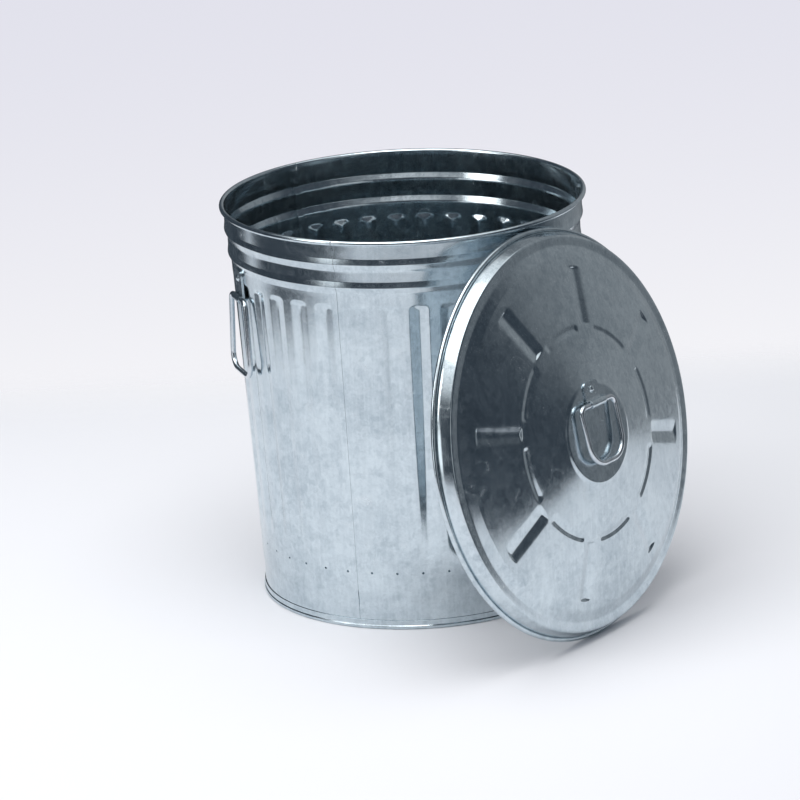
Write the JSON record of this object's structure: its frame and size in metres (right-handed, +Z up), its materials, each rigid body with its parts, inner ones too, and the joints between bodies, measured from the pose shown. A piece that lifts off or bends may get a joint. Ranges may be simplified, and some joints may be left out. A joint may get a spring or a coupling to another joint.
{
  "type": "galvanized steel trash can with lid",
  "caption": "Round tapered galvanized steel trash can with ribbed walls and wire side handles, its domed lid taken off and leaned on its side.",
  "frame": {"origin": "on the floor, on the axis of the can", "axes": "+Z up along the axis of the can; +X the level way the leaning lid faces, away from the can; the two handles of the can are at 55.6 and 235.6 degrees from +X"},
  "size_m": [0.6041, 0.5703, 0.53],
  "materials": {
    "galvanized_sheet": "satin, with a zinc spangle",
    "galvanized_wire": "satin",
    "galvanized_strap": "satin, with a zinc spangle"
  },
  "bodies": {
    "can": {"panel_front": "galvanized_sheet", "panel_back": "galvanized_sheet", "panel_left": "galvanized_sheet", "bottom_pan": "galvanized_sheet", "rim_wire": "galvanized_wire", "left_strap": "galvanized_strap", "left_rivet": "galvanized_strap", "right_strap": "galvanized_strap", "right_rivet": "galvanized_strap"},
    "left_handle": {"left_handle": "galvanized_wire"},
    "right_handle": {"right_handle": "galvanized_wire"},
    "lid": {"lid_cover": "galvanized_sheet", "lid_wire": "galvanized_wire", "lid_strap": "galvanized_strap", "lid_rivet": "galvanized_strap"},
    "lid_handle": {"lid_handle": "galvanized_wire"}
  },
  "joints": [
    {"name": "left_handle_swing", "type": "hinge", "parent": "can", "child": "left_handle", "pos_m": [-0.13045, -0.19051, 0.41976], "axis": [-0.8251, 0.565, 0], "range_deg": [-3, 165]},
    {"name": "right_handle_swing", "type": "hinge", "parent": "can", "child": "right_handle", "pos_m": [0.13045, 0.19051, 0.41976], "axis": [0.8251, -0.565, 0], "range_deg": [-3, 165]},
    {"name": "lid_slide", "type": "slide", "parent": "can", "child": "lid", "axis": [0.9833, 0, 0.1822], "range_m": [0, 0.6]},
    {"name": "lid_handle_swing", "type": "hinge", "parent": "lid", "child": "lid_handle", "pos_m": [0.34301, -0.065, 0.31247], "axis": [0, -1, 0], "range_deg": [0, 170]}
  ]
}
